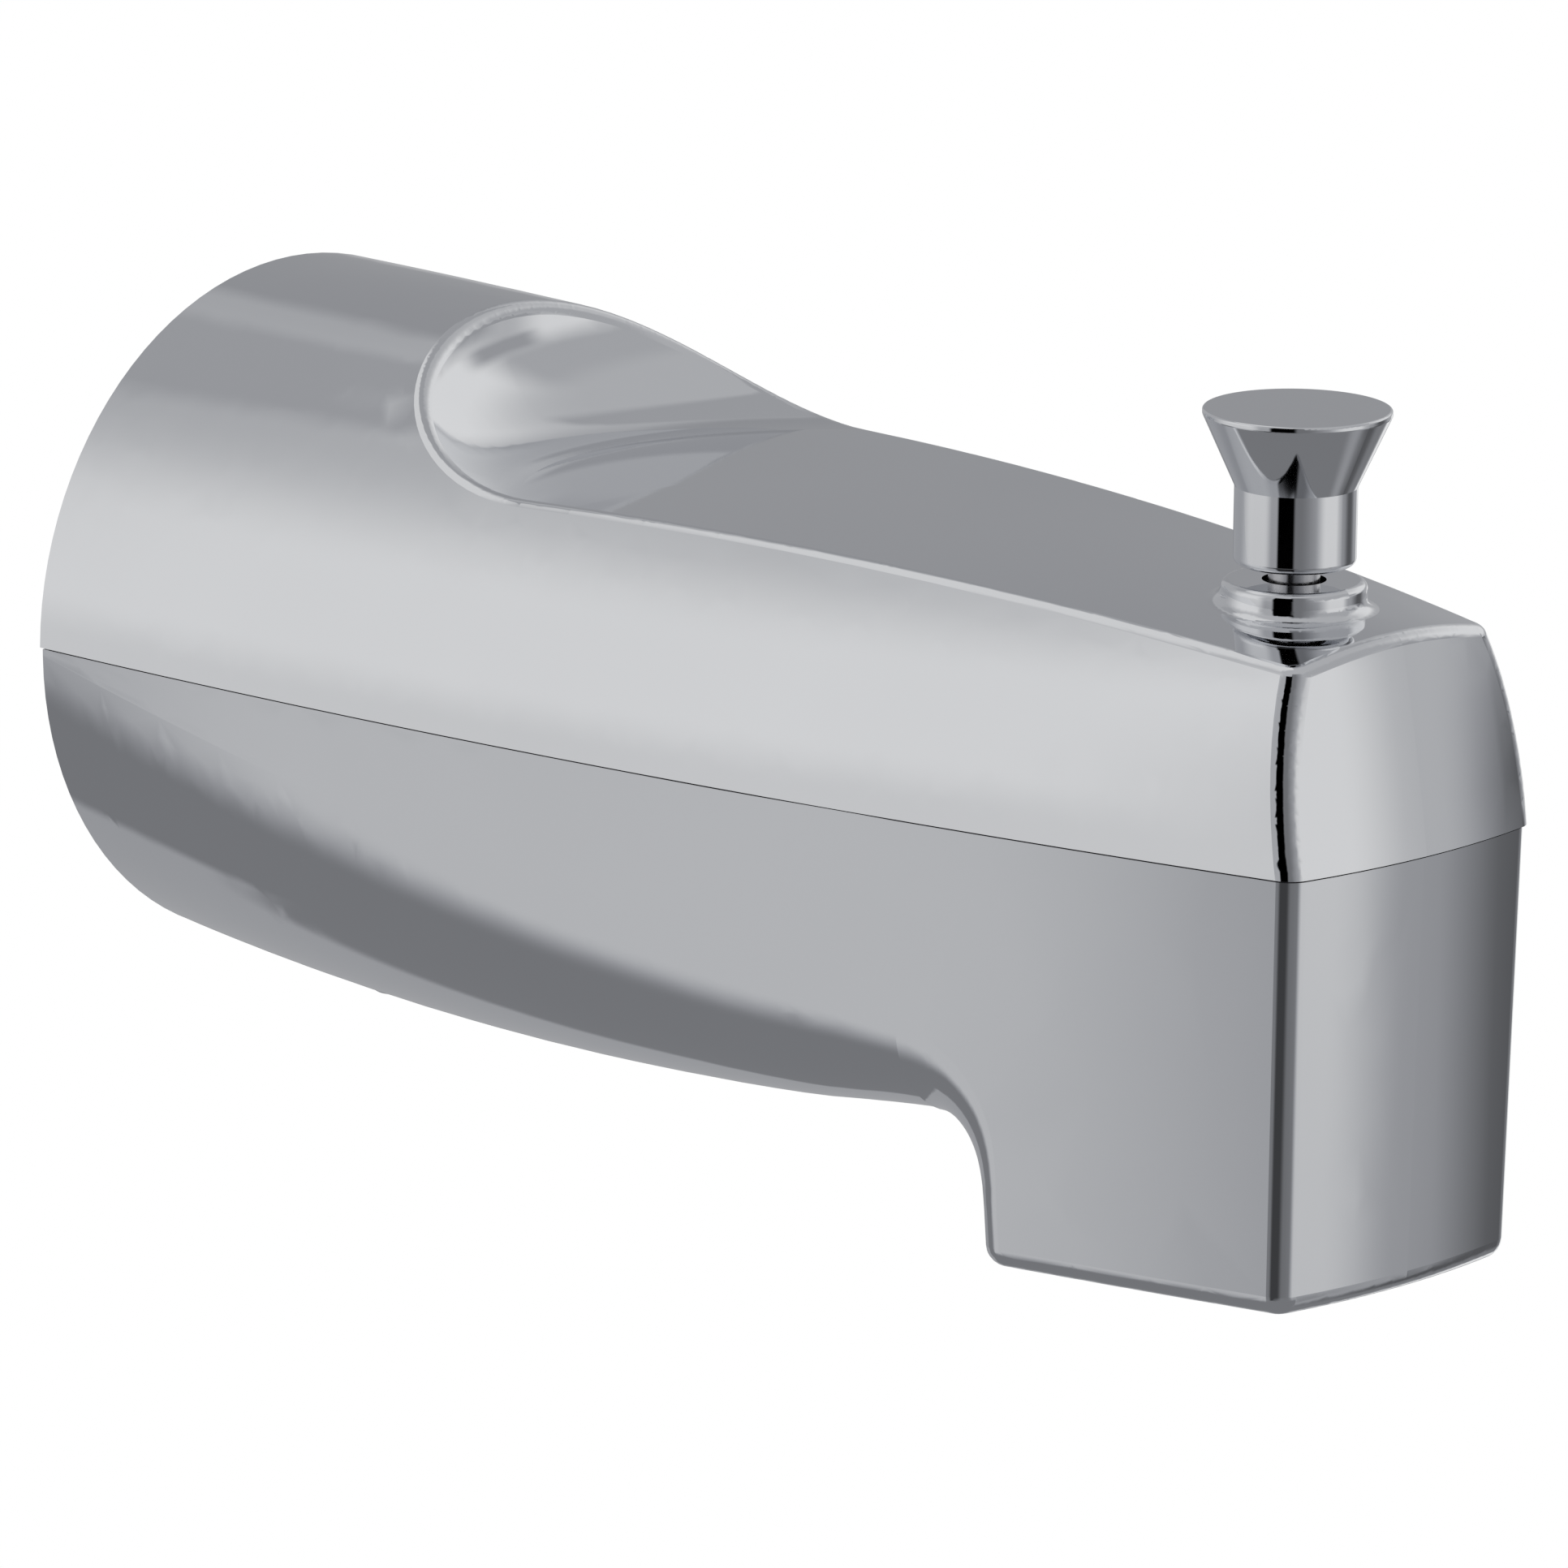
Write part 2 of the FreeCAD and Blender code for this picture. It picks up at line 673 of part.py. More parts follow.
def waterway():
    start = hub_end_x + socket_gap
    socket_end = start + socket_depth
    socket_bore = spigot_radius + socket_clearance
    solids = [
        rod_along_x(socket_bore + socket_wall, start, socket_end),
        rod_along_x(pipe_radius, socket_end - 1, chamber_back_x + 1),
        box(chamber_back_x, chamber_front_x, -chamber_half_width, chamber_half_width,
            chamber_bottom, chamber_top),
        box(chamber_back_x, chamber_front_x, -flange_half_width, flange_half_width,
            chamber_top - flange_thickness, chamber_top),
    ]
    for side in (-1, 1):
        solids.append(rod_along_z(lug_radius, lug_top() - lug_thickness, lug_top(), lug_x, side * lug_y))
        solids.append(box(lug_x - lug_radius, lug_x + lug_radius, min(0, side * lug_y), max(0, side * lug_y),
                          lug_top() - lug_thickness, lug_top()))
    for x, y in chamber_screw_places():
        solids.append(rod_along_z(cap_screw_inset, chamber_top - cap_screw_grip - 2, chamber_top, x, y))
    body = solids[0].fuse(solids[1:])
    spigot_end = hub_end_x + spigot_length
    inner = chamber_inner_half
    groove = inner + groove_depth
    cuts = [
        rod_along_x(socket_bore, start - 1, spigot_end + body_gap),
        rod_along_x(pipe_bore_radius, start, chamber_back_x - 1),
        rod_along_x(port_radius, chamber_back_x - 2, chamber_inner_back + 1),
        box(chamber_inner_back, chamber_inner_front, -inner, inner, chamber_bottom - 1, chamber_top + 1),
        box(plate_start_x + seat_gap, plate_start_x + gate_thickness + 2 * body_gap, -groove, groove,
            gate_bottom - body_gap, gate_top + lift_travel + body_gap),
    ]
    for side in (-1, 1):
        cuts.append(rod_along_z(waterway_screw_radius + 0.4, -lug_thickness, lug_top() + 1, lug_x, side * lug_y))
    for x, y in chamber_screw_places():
        cuts.append(rod_along_z(cap_screw_radius + screw_gap, chamber_top - cap_screw_grip - 0.5,
                                chamber_top + 1, x, y))
    for cutter in cuts:
        body = body.cut(cutter)
    return one_solid(body)


def screw_from_below(x, y, seat, radius, grip, head_radius, head_height):
    head = rod_along_z(head_radius, seat - head_height, seat, x, y)
    head = head.makeFillet(head_height * 0.3, find_edges(head, lambda e, c, b: b.ZMax < seat - head_height + 0.01))
    shank = rod_along_z(radius, seat - 0.1, seat + grip, x, y)
    slot = box(x - head_radius, x + head_radius, y - 0.4, y + 0.4, seat - head_height - 1, seat - head_height + 0.7)
    return head.fuse(shank).cut(slot)


def waterway_screws():
    seat = lug_top() - lug_thickness - seat_gap
    screws = [screw_from_below(lug_x, side * lug_y, seat, waterway_screw_radius,
                               lug_thickness + waterway_screw_grip, screw_head_radius, screw_head_height)
              for side in (-1, 1)]
    return Part.makeCompound(screws)


def cap_outline(z0, z1):
    plate = box(chamber_back_x, chamber_front_x, -flange_half_width, flange_half_width, z0, z1)
    return plate.makeFillet(cap_screw_inset, find_edges(plate, lambda e, c, b: b.ZLength > (z1 - z0) * 0.9))


def cap_gasket():
    plate = cap_outline(chamber_top + seat_gap, cap_base - seat_gap)
    inner = chamber_inner_half
    plate = plate.cut(box(chamber_inner_back, chamber_inner_front, -inner, inner, chamber_top, cap_base))
    for x, y in chamber_screw_places():
        plate = plate.cut(rod_along_z(cap_screw_radius + 0.2, chamber_top - 1, cap_base + 1, x, y))
    return plate


def chamber_cap():
    plate = cap_outline(cap_base, cap_top)
    plate = plate.cut(rod_along_z(rod_radius + slide_gap, cap_base - 1, cap_top + 1, rod_x))
    plate = plate.cut(rod_along_z(gland_radius, cap_top - gland_depth, cap_top + 1, rod_x))
    for x, y in chamber_screw_places():
        plate = plate.cut(rod_along_z(cap_screw_radius + 0.2, cap_base - 1, cap_top + 1, x, y))
    return plate


def cap_screws():
    screws = []
    for x, y in chamber_screw_places():
        head_base = cap_top + seat_gap
        head = rod_along_z(cap_head_radius, head_base, head_base + cap_head_height, x, y)
        shank = rod_along_z(cap_screw_radius, chamber_top - cap_screw_grip, head_base + 0.1, x, y)
        slot = box(x - cap_head_radius, x + cap_head_radius, y - 0.35, y + 0.35,
                   head_base + cap_head_height - 0.6, head_base + cap_head_height + 1)
        screws.append(head.fuse(shank).cut(slot))
    return Part.makeCompound(screws)


def rod_o_ring():
    base = cap_top - gland_depth + seat_gap
    ring = tube_along_z(gland_radius - seat_gap, rod_radius + slide_gap, base, cap_top - seat_gap, rod_x)
    return ring.makeFillet(0.5, find_edges(ring, lambda e, c, b: b.ZLength < 0.01))


def rod_bushing():
    base = cap_top + screw_gap
    sleeve = tube_along_z(bushing_radius, rod_radius + slide_gap, base, base + bushing_length, rod_x)
    flange = tube_along_z(bushing_flange_radius, rod_radius + slide_gap, base,
                          base + bushing_flange_thickness, rod_x)
    return one_solid(sleeve.fuse(flange))


def lift_rod():
    shoulder = gate_top + seat_gap
    clip_z = gate_bottom - seat_gap - gate_clip_thickness
    top = knob_base() + knob_bore_depth - 0.4
    rod = rod_along_z(rod_radius, shoulder, top, rod_x)
    lower = rod_along_z(rod_end_radius, clip_z - 1.6, shoulder + 0.5, rod_x)
    rod = rod.fuse(lower)
    groove = tube_along_z(rod_radius + 1, rod_end_radius - 0.5, clip_z - seat_gap,
                          gate_bottom, rod_x)
    rod = rod.cut(groove)
    ends = find_edges(rod, lambda e, c, b: b.ZLength < 0.01 and b.ZMin > top - 0.01)
    return one_solid(rod.makeChamfer(0.4, ends))


def gate_carrier():
    tongue = chamber_inner_half + groove_depth - gate_side_gap
    plate_half = chamber_inner_half - gate_side_gap
    tongue_start = plate_start_x + body_gap
    parts = [
        box(plate_start_x, tongue_start + gate_thickness, -plate_half, plate_half, gate_bottom, gate_top),
        box(tongue_start, tongue_start + gate_thickness, -tongue, tongue, gate_bottom, gate_top),
        rod_along_z(gate_hub_radius, gate_bottom, gate_top, rod_x),
    ]
    body = parts[0].fuse(parts[1:])
    body = body.cut(box(plate_start_x - gate_hub_radius, plate_start_x, -tongue, tongue, gate_bottom, gate_top))
    body = body.cut(rod_along_z(rod_end_radius + seat_gap, gate_bottom - 1, gate_top + 1, rod_x))
    stud_hole = rod_along_x(seal_stud_radius + seat_gap, plate_start_x - 1,
                            plate_start_x + seal_stud_length + seat_gap, 0, gate_rest_z)
    return one_solid(body.cut(stud_hole))


def gate_seal():
    disc = rod_along_x(gate_seal_radius, seal_start_x, plate_start_x - seat_gap, 0, gate_rest_z)
    disc = disc.makeFillet(0.6, find_edges(disc, lambda e, c, b: b.XMax < seal_start_x + 0.01))
    stud = rod_along_x(seal_stud_radius, plate_start_x - 1, plate_start_x + seal_stud_length, 0, gate_rest_z)
    return one_solid(disc.fuse(stud))


def gate_clip():
    z1 = gate_bottom - seat_gap
    z0 = z1 - gate_clip_thickness
    ring = tube_along_z(gate_clip_radius, rod_end_radius - 0.5 + seat_gap, z0, z1, rod_x)
    slot = (rod_end_radius - 0.5) * 0.9
    return ring.cut(box(rod_x, rod_x + gate_clip_radius + 1, -slot, slot, z0 - 1, z1 + 1))


def diverter_knob():
    base = knob_base()
    neck_top = base + knob_neck_height
    cone_top = neck_top + knob_cone_height
    top = cone_top + knob_rim_height
    rounding = knob_foot_radius
    bend = rounding * (1 - math.sin(math.pi / 4))
    edges = [
        line(Vector(0, 0, base), Vector(knob_neck_radius - rounding, 0, base)),
        arc(Vector(knob_neck_radius - rounding, 0, base),
            Vector(knob_neck_radius - bend, 0, base + bend),
            Vector(knob_neck_radius, 0, base + rounding)),
        line(Vector(knob_neck_radius, 0, base + rounding), Vector(knob_neck_radius, 0, neck_top)),
        line(Vector(knob_neck_radius, 0, neck_top), Vector(knob_radius, 0, cone_top)),
        line(Vector(knob_radius, 0, cone_top), Vector(knob_radius, 0, top)),
        line(Vector(knob_radius, 0, top), Vector(0, 0, top)),
        line(Vector(0, 0, top), Vector(0, 0, base)),
    ]
    knob = Part.Face(Part.Wire(edges)).revolve(Vector(0, 0, 0), Vector(0, 0, 1), 360)
    rim = find_edges(knob, lambda e, c, b: b.XLength > 2 * knob_radius - 0.1)
    knob = knob.makeFillet(knob_rim_height * 0.45, rim)
    knob = knob.cut(Part.makeCylinder(rod_radius + seat_gap, knob_bore_depth + 1, Vector(0, 0, base - 1)))
    knob.translate(collar_centre)
    return knob


# A square grid pushed into the chamber's open bottom
def stream_straightener():
    x0 = chamber_inner_back + slide_gap
    x1 = chamber_inner_front - slide_gap
    half = chamber_inner_half - slide_gap
    z0 = chamber_bottom + 0.5
    z1 = z0 + straightener_height
    wall = straightener_wall
    frame = box(x0, x1, -half, half, z0, z1)
    frame = frame.cut(box(x0 + wall, x1 - wall, -half + wall, half - wall, z0 - 1, z1 + 1))
    webs = []
    for step in range(1, straightener_cells):
        x = x0 + (x1 - x0) * step / straightener_cells
        y = -half + 2 * half * step / straightener_cells
        webs.append(box(x - straightener_web / 2, x + straightener_web / 2, -half + 0.5, half - 0.5, z0, z1))
        webs.append(box(x0 + 0.5, x1 - 0.5, y - straightener_web / 2, y + straightener_web / 2, z0, z1))
    return one_solid(frame.fuse(webs))


pieces = {
    "upper_shell": upper_shell,
    "lower_shell": lower_shell,
    "inlet_hub": inlet_hub,
    "tube_o_ring_rear": lambda: tube_o_ring(rear_tube_ring_x),
    "tube_o_ring_front": lambda: tube_o_ring(front_tube_ring_x),
    "set_screw": set_screw,
    "spigot_o_ring": spigot_o_ring,
    "hub_retaining_clip": hub_retaining_clip,
    "waterway": waterway,
    "waterway_screws": waterway_screws,
    "chamber_cap": chamber_cap,
    "cap_gasket": cap_gasket,
    "cap_screws": cap_screws,
    "rod_o_ring": rod_o_ring,
    "rod_bushing": rod_bushing,
    "diverter_knob": diverter_knob,
    "lift_rod": lift_rod,
    "gate_carrier": gate_carrier,
    "gate_seal": gate_seal,
    "gate_clip": gate_clip,
    "stream_straightener": stream_straightener,
}

for name, make in pieces.items():
    shape = make()
    shape.exportStep("parts/" + name + ".step")
    print(name, shape.isValid(), len(shape.Solids), round(shape.Volume, 1))
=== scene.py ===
import json
import math
import bpy
from mathutils import Matrix, Vector

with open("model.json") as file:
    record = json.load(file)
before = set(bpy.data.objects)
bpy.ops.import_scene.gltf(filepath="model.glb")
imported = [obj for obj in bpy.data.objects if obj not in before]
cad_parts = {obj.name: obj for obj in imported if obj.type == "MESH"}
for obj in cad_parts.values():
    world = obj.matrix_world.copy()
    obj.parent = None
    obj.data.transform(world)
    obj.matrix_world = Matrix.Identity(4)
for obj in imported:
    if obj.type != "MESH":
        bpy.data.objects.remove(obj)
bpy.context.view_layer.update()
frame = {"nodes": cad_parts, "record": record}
print("stage: frame loaded")

paperWhite = (1, 1, 1, 1)
noiseRange = (0.3, 0.7)  # most of a noise texture's values lie between these


# A wrapped socket, so that shader maths reads as plain sums
class Wire:
    def __init__(self, tree, socket):
        self.tree = tree
        self.socket = socket

    def node(self, kind, settings=None, inputs=None, output=0):
        made = self.tree.nodes.new(kind)
        for name, value in (settings or {}).items():
            setattr(made, name, value)
        for name, value in (inputs or {}).items():
            target = made.inputs[name]
            if isinstance(value, Wire):
                self.tree.links.new(value.socket, target)
            else:
                target.default_value = value
        return Wire(self.tree, made.outputs[output] if len(made.outputs) else None)

    def math(self, operation, *others):
        return self.node("ShaderNodeMath", {"operation": operation}, dict(enumerate((self, *others))))

    def __add__(self, other):
        return self.math("ADD", other)

    def __radd__(self, other):
        return self.math("ADD", other)

    def __sub__(self, other):
        return self.math("SUBTRACT", other)

    def __rsub__(self, other):
        return (self * -1.0) + other

    def __mul__(self, other):
        return self.math("MULTIPLY", other)

    def __rmul__(self, other):
        return self.math("MULTIPLY", other)

    def span(self, low, high, outLow=0.0, outHigh=1.0):
        return self.node("ShaderNodeMapRange", {"interpolation_type": "SMOOTHSTEP"},
                         {"Value": self, "From Min": low, "From Max": high,
                          "To Min": outLow, "To Max": outHigh})

    def dot(self, vector):
        return self.node("ShaderNodeVectorMath", {"operation": "DOT_PRODUCT"},
                         {0: self, 1: vector}, "Value")


def startMaterial(name):
    material = bpy.data.materials.new(name)
    material.use_nodes = True
    tree = material.node_tree
    tree.nodes.clear()
    return material, Wire(tree, None)


def finishMaterial(material, pen, settings):
    shader = pen.node("ShaderNodeBsdfPrincipled", None, settings)
    pen.node("ShaderNodeOutputMaterial", None, {"Surface": shader})
    return material


def objectPlace(pen):
    return pen.node("ShaderNodeTexCoord", None, None, "Object")


def noise(pen, place, pattern):
    return pen.node("ShaderNodeTexNoise", None, {"Vector": place, **pattern}, "Fac")


def bump(pen, height, relief):
    return pen.node("ShaderNodeBump", None, {"Height": height, **relief}, "Normal")


# Sockets 6 and 7 and output 2 are the Mix node's colour ones
def blendColours(pen, factor, first, second):
    return pen.node("ShaderNodeMix", {"data_type": "RGBA"}, {0: factor, 6: first, 7: second}, 2)


# White to the camera, and the other shader to every other ray
def whiteForCamera(pen, whiteShader, otherShader):
    seen = pen.node("ShaderNodeLightPath", None, None, "Is Camera Ray")
    return pen.node("ShaderNodeMixShader", None, {0: seen, 1: otherShader, 2: whiteShader})


# Bright chrome plate: a faint swirl in the roughness, a very shallow ripple of the casting, and
# painted shade: a darker base colour in narrow gaps, where ambient occlusion finds them closed in
chromePlate = {
    "light": (0.785, 0.795, 0.815, 1), "dark": (0.755, 0.765, 0.785, 1), "rough": (0.025, 0.06),
    "swirl": {"Scale": 35.0, "Detail": 4.0}, "haze": {"Scale": 490.0, "Detail": 2.0},
    "swirlShare": 0.6,
    "ripple": {"Scale": 22.0, "Detail": 1.0}, "rippleRelief": {"Strength": 0.04, "Distance": 0.00001},
    # painted shade: the colour, reach, fade and ray count of the darkening painted into narrow gaps
    "paintedGapShade": (0.10, 0.10, 0.11, 1), "paintedShadeReach": 0.0007, "paintedShadeFade": (0.3, 0.8),
    "paintedShadeRays": 8,
}
knobPlate = dict(chromePlate, rough=(0.025, 0.05), swirl={"Scale": 60.0, "Detail": 4.0},
                 haze={"Scale": 840.0, "Detail": 2.0})


def makeChrome(name, plate):
    material, pen = startMaterial(name)
    place = objectPlace(pen)
    swirl = noise(pen, place, plate["swirl"])
    haze = noise(pen, place, plate["haze"])
    share = plate["swirlShare"]
    rough = (swirl * share + haze * (1 - share)).span(*noiseRange, *plate["rough"])
    # painted shade: ambient occlusion darkens the base colour in narrow gaps and seams
    paintedShadeOpenness = pen.node("ShaderNodeAmbientOcclusion", {"samples": plate["paintedShadeRays"]},
                        {"Distance": plate["paintedShadeReach"]}, "AO")
    plain = blendColours(pen, swirl, plate["light"], plate["dark"])
    colour = blendColours(pen, paintedShadeOpenness.span(*plate["paintedShadeFade"]), plate["paintedGapShade"], plain)
    ripple = noise(pen, place, plate["ripple"])
    return finishMaterial(material, pen, {"Base Color": colour, "Metallic": 1.0, "Roughness": rough,
                                          "Normal": bump(pen, ripple, plate["rippleRelief"])})


# Turned brass: rings round the supply axis, with darker stains
turnedBrass = {
    "light": (0.78, 0.58, 0.28, 1), "dark": (0.55, 0.38, 0.17, 1), "rough": (0.22, 0.42),
    "stain": {"Scale": 90.0, "Detail": 5.0, "Roughness": 0.6}, "stainFade": (0.35, 0.7),
    "ringsPerMetre": 450.0, "ringRelief": {"Strength": 0.15, "Distance": 0.00003},
}


def makeBrass(name, brass):
    material, pen = startMaterial(name)
    place = objectPlace(pen)
    along = pen.node("ShaderNodeSeparateXYZ", None, {"Vector": place}, "X")
    rings = (along * (brass["ringsPerMetre"] * math.tau)).math("SINE")
    stain = noise(pen, place, brass["stain"])
    colour = blendColours(pen, stain.span(*brass["stainFade"]), brass["light"], brass["dark"])
    return finishMaterial(material, pen, {"Base Color": colour, "Metallic": 1.0,
                                          "Roughness": stain.span(*noiseRange, *brass["rough"]),
                                          "Normal": bump(pen, rings, brass["ringRelief"])})


# Moulded rubber: near black, dusty, fine grain
mouldedRubber = {
    "light": (0.06, 0.06, 0.064, 1), "dark": (0.022, 0.022, 0.024, 1), "rough": (0.5, 0.72),
    "dust": {"Scale": 160.0, "Detail": 4.0, "Roughness": 0.65}, "dustFade": (0.4, 0.75),
    "grain": {"Scale": 1400.0, "Detail": 2.0}, "grainRelief": {"Strength": 0.3, "Distance": 0.00004},
    "ior": 1.5,
}


def makeRubber(name, rubber):
    material, pen = startMaterial(name)
    place = objectPlace(pen)
    dust = noise(pen, place, rubber["dust"])
    grain = noise(pen, place, rubber["grain"])
    colour = blendColours(pen, dust.span(*rubber["dustFade"]), rubber["dark"], rubber["light"])
    return finishMaterial(material, pen, {"Base Color": colour, "IOR": rubber["ior"],
                                          "Roughness": dust.span(*noiseRange, *rubber["rough"]),
                                          "Normal": bump(pen, grain, rubber["grainRelief"])})


# Stainless steel: grain drawn out along the height
drawnSteel = {
    "light": (0.66, 0.66, 0.67, 1), "dark": (0.48, 0.48, 0.5, 1), "rough": (0.16, 0.34),
    "drawing": (1500.0, 1500.0, 60.0), "grain": {"Scale": 1.0, "Detail": 3.0, "Roughness": 0.6},
    "mark": {"Scale": 120.0, "Detail": 4.0}, "grainRelief": {"Strength": 0.2, "Distance": 0.00002},
}


def makeSteel(name, steel):
    material, pen = startMaterial(name)
    place = objectPlace(pen)
    drawn = pen.node("ShaderNodeMapping", None, {"Vector": place, "Scale": steel["drawing"]})
    grain = noise(pen, drawn, steel["grain"])
    mark = noise(pen, place, steel["mark"])
    colour = blendColours(pen, mark, steel["light"], steel["dark"])
    return finishMaterial(material, pen, {"Base Color": colour, "Metallic": 1.0,
                                          "Roughness": grain.span(*noiseRange, *steel["rough"]),
                                          "Normal": bump(pen, grain, steel["grainRelief"])})


# Moulded acetal: slightly waxy, with flow marks and a fine spark texture
paleAcetal = {
    "light": (0.60, 0.61, 0.62, 1), "dark": (0.50, 0.51, 0.53, 1), "rough": (0.34, 0.5),
    "flow": {"Scale": 55.0, "Detail": 5.0, "Roughness": 0.6}, "flowFade": (0.3, 0.75),
    "spark": {"Scale": 1800.0, "Detail": 2.0}, "sparkRelief": {"Strength": 0.25, "Distance": 0.00002},
    "ior": 1.48, "wax": 0.04, "waxDepth": 0.002,
}
whiteAcetal = dict(paleAcetal, light=(0.84, 0.84, 0.81, 1), dark=(0.74, 0.74, 0.70, 1))


def makeAcetal(name, plastic):
    material, pen = startMaterial(name)
    place = objectPlace(pen)
    flow = noise(pen, place, plastic["flow"])
    spark = noise(pen, place, plastic["spark"])
    colour = blendColours(pen, flow.span(*plastic["flowFade"]), plastic["light"], plastic["dark"])
    return finishMaterial(material, pen, {"Base Color": colour, "IOR": plastic["ior"],
                                          "Roughness": flow.span(*noiseRange, *plastic["rough"]),
                                          "Subsurface Weight": plastic["wax"],
                                          "Subsurface Scale": plastic["waxDepth"],
                                          "Normal": bump(pen, spark, plastic["sparkRelief"])})


finishes = {
    "chrome_shell": makeChrome("chromeShell", chromePlate),
    "chrome_knob": makeChrome("chromeKnob", knobPlate),
    "brass_hub": makeBrass("turnedBrass", turnedBrass),
    "black_rubber": makeRubber("mouldedRubber", mouldedRubber),
    "steel": makeSteel("drawnSteel", drawnSteel),
    "pale_plastic": makeAcetal("paleAcetal", paleAcetal),
    "white_plastic": makeAcetal("whiteAcetal", whiteAcetal),
}
slotOfNode = {entry["node"]: entry["material_slot"] for entry in frame["record"]["subparts"]}
for nodeName, node in frame["nodes"].items():
    node.data.materials.clear()
    node.data.materials.append(finishes[slotOfNode[nodeName]])
print("stage: materials made")

# The camera, fitted to the photograph: angles in degrees, lens and sensor in millimetres
cameraFit = {
    "azimuth": 43.5009, "elevation": 13.5537, "roll": 0.7281,
    "distance": 1.564, "right": 0.0542908, "up": -0.0209057,
    "lens": 326.09, "sensor": 36.0, "clipEnd": 50.0,
}


def makeCamera(fit):
    azimuth, elevation, roll = (math.radians(fit[name]) for name in ("azimuth", "elevation", "roll"))
    back = Vector((math.sin(azimuth) * math.cos(elevation),
                   -math.cos(azimuth) * math.cos(elevation), math.sin(elevation)))
    right = Vector((math.cos(azimuth), math.sin(azimuth), 0))
    up = back.cross(right)
    across = math.cos(roll) * right + math.sin(roll) * up
    upward = -math.sin(roll) * right + math.cos(roll) * up
    data = bpy.data.cameras.new("photoCamera")
    data.lens = fit["lens"]
    data.sensor_width = fit["sensor"]
    data.clip_end = fit["clipEnd"]
    camera = bpy.data.objects.new("photoCamera", data)
    bpy.context.scene.collection.objects.link(camera)
    turn = Matrix((across, upward, back)).transposed().to_4x4()
    centre = back * fit["distance"] + across * fit["right"] + upward * fit["up"]
    camera.matrix_world = Matrix.Translation(centre) @ turn
    bpy.context.scene.camera = camera


makeCamera(cameraFit)
print("stage: camera made")

# The studio: a white sweep for the eye, and soft panels that only reflections and light see.
# Each panel hangs in front of those before it. Azimuth and elevation give, in degrees, where it
# starts to show, where it is full, where it starts to fade and where it ends. Azimuth 0 is before
# the spout's front, -90 is its near side and 180 is the wall.
studio = {
    "base": 0.222, "shadeTint": (0.97, 0.985, 1.035, 1), "tintFade": (0.2, 0.8),
    "panels": {
        # all round
        "room": {"elevation": (-15, -11, 91, 92), "level": 0.455},
        "ceiling": {"elevation": (36, 52, 91, 92), "level": 0.51},
        # high up toward the wall
        "topBox": {"azimuth": (130, 150, 215, 250), "elevation": (46, 54, 91, 92), "level": 0.76},
        # along the near side
        "keyBox": {"azimuth": (-172, -132, -112, -92), "elevation": (-15.5, -11, 22, 57), "level": 0.8},
        "keyHem": {"azimuth": (-172, -132, -112, -92), "elevation": (-15.5, -11, -10, 2), "level": 0.7},
        "lowBox": {"azimuth": (-146, -130, -114, -97), "elevation": (-46, -27, -15, -11.5), "level": 0.575},
        # behind the camera
        "cornerScreen": {"azimuth": (-56, -53, -40, 2), "elevation": (-34, -24, 45, 60), "level": 0.19},
        # before the front
        "frontBox": {"azimuth": (-12, 12, 62, 78), "elevation": (-38, -6, 6, 22), "level": 0.79},
        "frontVeil": {"azimuth": (33, 48, 76, 96), "elevation": (-13, -6, 4, 11), "level": 0.52},
        "lowVeil": {"azimuth": (33, 48, 76, 96), "elevation": (-60, -40, -13, -6), "level": 0.37},
        "frontShade": {"azimuth": (49.5, 70.5, 76, 96), "elevation": (-60, -40, -4, 5), "level": 0.11},
        # along the far side
        "backBox": {"azimuth": (50, 70, 104, 124), "elevation": (2, 10, 22, 54), "level": 0.82},
        "edgeShade": {"azimuth": (34, 44, 60, 74), "elevation": (4, 9, 13, 20), "level": 0.38},
        "rearScreen": {"azimuth": (123, 131, 146, 152), "elevation": (-5, 0, 38, 50), "level": 0.345},
        "highScreen": {"azimuth": (92, 106, 136, 150), "elevation": (42, 46, 75, 85), "level": 0.405},
        # toward the wall, and low down on the far side
        "crownScreen": {"azimuth": (157, 164, 190, 200), "elevation": (30, 40, 48, 50), "level": 0.4},
        "lowStrip": {"azimuth": (98, 112, 182, 188), "elevation": (-44, -42, -20, -12), "level": 0.385},
        "kicker": {"azimuth": (104, 110, 118, 126), "elevation": (-39, -35, -8, 0), "level": 0.85},
        # between the near side and the camera
        "blackFlag": {"azimuth": (-84, -79, -53, -47), "elevation": (-15.5, -13.5, 38, 46), "level": 0},
        "lowFlag": {"azimuth": (-96, -82, -58, -36), "elevation": (-40, -30, -14.5, -13), "level": 0.055},
    },
}


def fade(angle, edges):
    start, full, fadeStart, end = edges
    return angle.span(start, full) * (1.0 - angle.span(fadeStart, end))


# How many degrees a direction lies to the left of an azimuth
def leftOf(direction, azimuth):
    cosine, sine = math.cos(math.radians(azimuth)), math.sin(math.radians(azimuth))
    ahead = direction.dot((cosine, sine, 0))
    aside = direction.dot((-sine, cosine, 0))
    return aside.math("ARCTAN2", ahead) * math.degrees(1)


def panelCover(direction, height, panel):
    cover = fade(height, panel["elevation"])
    if "azimuth" in panel:
        middle = (panel["azimuth"][1] + panel["azimuth"][2]) / 2
        cover = cover * fade(leftOf(direction, middle), [edge - middle for edge in panel["azimuth"]])
    return cover


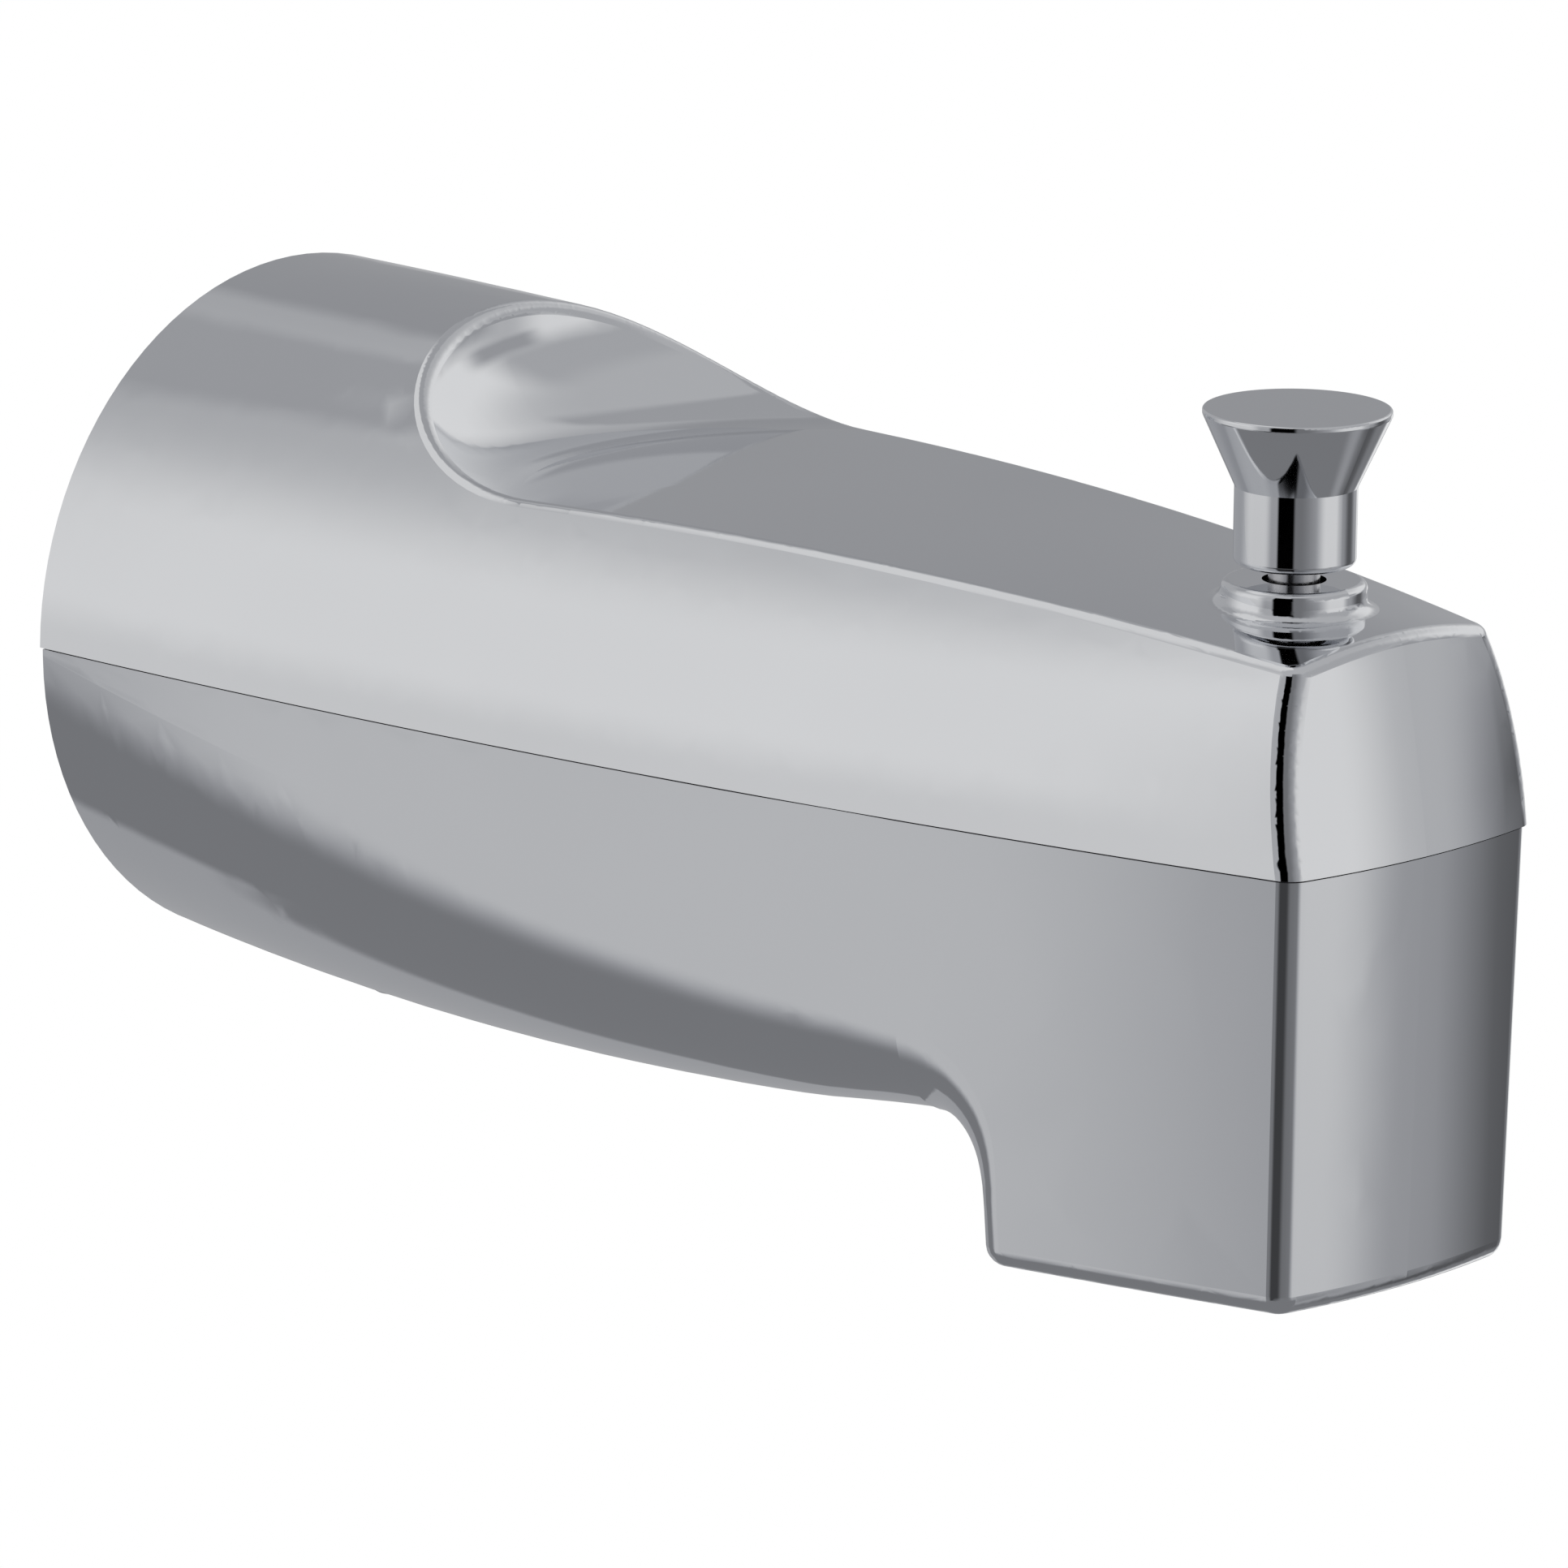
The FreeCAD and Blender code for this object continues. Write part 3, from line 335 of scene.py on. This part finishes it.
def makeStudio(settings):
    world = bpy.data.worlds.new("studio")
    bpy.context.scene.world = world
    world.use_nodes = True
    world.node_tree.nodes.clear()
    pen = Wire(world.node_tree, None)
    direction = pen.node("ShaderNodeTexCoord", None, None, "Generated")
    direction = pen.node("ShaderNodeVectorMath", {"operation": "NORMALIZE"}, {0: direction}, "Vector")
    height = direction.dot((0, 0, 1)).math("ARCSINE") * math.degrees(1)
    level = settings["base"]
    for panel in settings["panels"].values():
        level = level + (panel["level"] - level) * panelCover(direction, height, panel)
    tint = blendColours(pen, level.span(*settings["tintFade"]), settings["shadeTint"], paperWhite)
    panels = pen.node("ShaderNodeBackground", None, {"Color": tint, "Strength": level})
    sweep = pen.node("ShaderNodeBackground", None, {"Color": paperWhite, "Strength": 1.0})
    pen.node("ShaderNodeOutputWorld", None, {"Surface": whiteForCamera(pen, sweep, panels)})


makeStudio(studio)
print("stage: studio made")

# A pale floor, far enough down to leave the view from below open
paleFloor = {"reach": 12.0, "height": -1.6, "colour": (0.85, 0.85, 0.85, 1)}


def makeFloor(settings):
    mesh = bpy.data.meshes.new("floor")
    reach, height = settings["reach"], settings["height"]
    corners = [(-reach, -reach, height), (reach, -reach, height), (reach, reach, height),
               (-reach, reach, height)]
    mesh.from_pydata(corners, [], [(0, 1, 2, 3)])
    floor = bpy.data.objects.new("floor", mesh)
    bpy.context.scene.collection.objects.link(floor)
    material, pen = startMaterial("paleFloor")
    paper = pen.node("ShaderNodeEmission", None, {"Color": paperWhite, "Strength": 1.0})
    matt = pen.node("ShaderNodeBsdfDiffuse", None, {"Color": settings["colour"]})
    pen.node("ShaderNodeOutputMaterial", None, {"Surface": whiteForCamera(pen, paper, matt)})
    mesh.materials.append(material)
    floor.visible_glossy = False


makeFloor(paleFloor)
print("stage: floor made")

lightAim = (0.08, 0, 0)  # near the middle of the spout
softLights = [
    {"name": "keyLight", "place": (0.5, -1.1, 1.3), "size": 0.9, "watts": 14.0},
    {"name": "fillLight", "place": (-0.9, -0.9, 0.5), "size": 1.0, "watts": 6.0},
]


def makeLight(light):
    data = bpy.data.lights.new(light["name"], "AREA")
    data.size = light["size"]
    data.energy = light["watts"]
    lamp = bpy.data.objects.new(light["name"], data)
    lamp.location = light["place"]
    aim = Vector(lightAim) - Vector(light["place"])
    lamp.rotation_euler = aim.to_track_quat("-Z", "Y").to_euler()
    lamp.visible_glossy = False
    bpy.context.scene.collection.objects.link(lamp)


for light in softLights:
    makeLight(light)
bpy.context.scene.view_settings.view_transform = "Standard"
print("stage: lights made")
